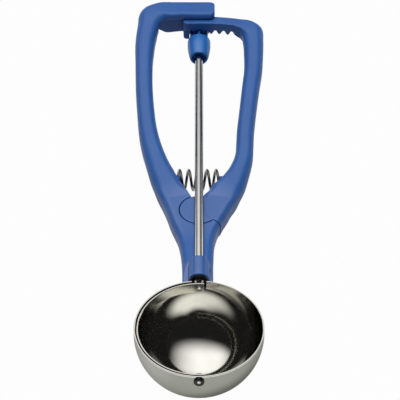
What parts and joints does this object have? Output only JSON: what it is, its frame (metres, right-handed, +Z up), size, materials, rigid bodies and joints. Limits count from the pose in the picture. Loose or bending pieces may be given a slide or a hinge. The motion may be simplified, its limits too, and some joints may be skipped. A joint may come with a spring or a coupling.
{
  "type": "lever ice cream scoop",
  "caption": "Squeeze-handle ice cream scoop: a lever rack turns a pinion and shaft that sweep a curved scraper blade through a round steel bowl, and a coil spring opens it again.",
  "frame": {"origin": "middle of the object at the bottom of the bowl, which stands on the XY plane", "axes": "+Z up out of the bowl, +Y along the shaft from the bowl to the far end of the handles, +X towards the lever"},
  "size_m": [0.0643, 0.2457, 0.0437],
  "materials": {
    "handle_nylon": "satin moulded nylon, blue",
    "pinion_nylon": "semi-gloss moulded nylon, brighter blue",
    "bush_acetal": "black, satin",
    "bowl_steel": "polished inside, fine satin outside",
    "bracket_steel": "plain pressed sheet",
    "blade_steel": "polished strip",
    "rivet_steel": "dark, the middle of the head worn bright",
    "shaft_steel": "ground and polished rod",
    "fastener_steel": "plain",
    "insert_brass": "knurled insert, plain",
    "spring_steel": "drawn stainless spring wire"
  },
  "bodies": {
    "frame": {"frame_handle": "handle_nylon", "bowl": "bowl_steel", "bowl_bracket": "bracket_steel", "bracket_screws": "fastener_steel", "blade_rivet": "rivet_steel", "blade_washer": "fastener_steel", "front_bush": "bush_acetal", "rear_bush": "bush_acetal", "clip_washer": "fastener_steel", "return_spring": "spring_steel"},
    "lever": {"lever_handle": "handle_nylon", "pivot_screw": "fastener_steel", "pivot_washer": "fastener_steel", "pivot_insert": "insert_brass"},
    "shaft": {"shaft": "shaft_steel", "pinion": "pinion_nylon", "pinion_pin": "fastener_steel", "thrust_washer": "fastener_steel", "end_clip": "fastener_steel", "scraper_blade": "blade_steel"}
  },
  "joints": [
    {"name": "lever_hinge", "type": "hinge", "parent": "frame", "child": "lever", "pos_m": [0, -0.01001, 0.0211], "axis": [0, 0, 1], "range_deg": [0, 5.9], "stiffness_Nm_per_rad": 6.3, "springref_deg": -6.76, "deforming": ["return_spring"]},
    {"name": "shaft_spin", "type": "hinge", "parent": "frame", "child": "shaft", "pos_m": [0, 0, 0.0297], "axis": [0, 1, 0], "range_deg": [-180, 0]}
  ],
  "couplings": [
    {"joint": "shaft_spin", "follows": "lever_hinge", "ratio": -30.5}
  ]
}
